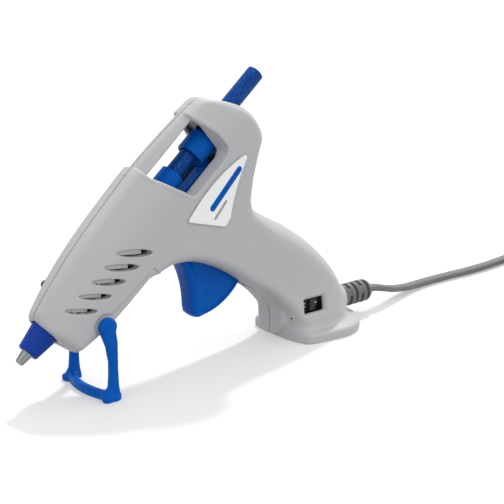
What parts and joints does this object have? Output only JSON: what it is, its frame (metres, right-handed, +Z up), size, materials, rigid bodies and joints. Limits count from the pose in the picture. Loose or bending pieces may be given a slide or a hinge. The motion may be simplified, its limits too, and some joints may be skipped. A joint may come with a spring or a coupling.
{
  "type": "hot glue gun",
  "caption": "Small corded hot-glue gun with a through window over the stick, a squeeze trigger that feeds it, and a folding front stand.",
  "frame": {"origin": "on the floor, in the middle of the gun's box without the cord, on the seam between the two casing halves", "axes": "+Z up as the gun stands on its foot and stand; -X towards the nozzle; +X towards the cord's outlet; +Y towards the half with the screw heads"},
  "size_m": [0.4003, 0.0574, 0.1146],
  "materials": {
    "casing": "fine satin texture",
    "blue_plastic": "satin",
    "silicone": "matt",
    "glue": "glossy with fine glitter",
    "nickel": "polished",
    "steel": "plain",
    "aluminium": "cast",
    "ceramic": "fired ceramic",
    "resin": "moulded",
    "black_plastic": "satin",
    "label": "printed film, satin",
    "lens": "polished",
    "cord": "matt",
    "lead_sleeve": "glass-fibre sleeve"
  },
  "bodies": {
    "casing": {"left_shell": "casing", "right_shell": "casing", "indicator_lens": "lens", "nozzle_tip": "nickel", "nozzle_cone": "silicone", "melt_chamber": "aluminium", "front_mount_ring": "resin", "rear_mount_ring": "resin", "heater_plate": "ceramic", "heater_clip": "steel", "feed_sleeve": "blue_plastic", "stick_guide": "resin", "return_spring": "steel", "trigger_pin": "steel", "switch_body": "black_plastic", "strain_relief": "cord", "cord_clamp": "black_plastic", "clamp_screw_1": "steel", "clamp_screw_2": "steel", "heater_lead_1": "lead_sleeve", "heater_lead_2": "lead_sleeve", "label_plate_left": "label", "label_plate_right": "label", "cord": "cord", "cord_hank": "cord", "cord_tail": "cord", "cord_tie": "black_plastic", "plug_body": "cord", "plug_pin_1": "nickel", "plug_pin_2": "nickel", "case_screw_1": "steel", "case_screw_2": "steel", "case_screw_3": "steel", "case_screw_4": "steel", "case_screw_5": "steel"},
    "trigger": {"trigger": "blue_plastic", "drive_pin": "steel"},
    "carriage": {"feed_carriage": "blue_plastic"},
    "stick": {"glue_stick": "glue"},
    "stand": {"stand": "blue_plastic"},
    "temperature_slider": {"temperature_slider": "black_plastic"}
  },
  "joints": [
    {"name": "trigger_squeeze", "type": "hinge", "parent": "casing", "child": "trigger", "pos_m": [-0.016, 0, 0.0495], "axis": [0, -1, 0], "range_deg": [0, 20], "stiffness_Nm_per_rad": 0.25, "springref_deg": -8.59, "deforming": ["return_spring"]},
    {"name": "carriage_feed", "type": "slide", "parent": "casing", "child": "carriage", "axis": [-0.757, 0, -0.6534], "range_m": [0, 0.0049]},
    {"name": "stick_feed", "type": "slide", "parent": "casing", "child": "stick", "axis": [-0.757, 0, -0.6534], "range_m": [0, 0.0049]},
    {"name": "stand_fold", "type": "hinge", "parent": "casing", "child": "stand", "pos_m": [-0.05873, 0, 0.02838], "axis": [0, -1, 0], "range_deg": [0, 119]},
    {"name": "temperature_slide", "type": "slide", "parent": "casing", "child": "temperature_slider", "axis": [1, 0, 0], "range_m": [-0.0015, 0.0015]}
  ],
  "couplings": [
    {"joint": "carriage_feed", "follows": "trigger_squeeze", "m_per_rad": 0.013923},
    {"joint": "stick_feed", "follows": "trigger_squeeze", "m_per_rad": 0.013923}
  ]
}
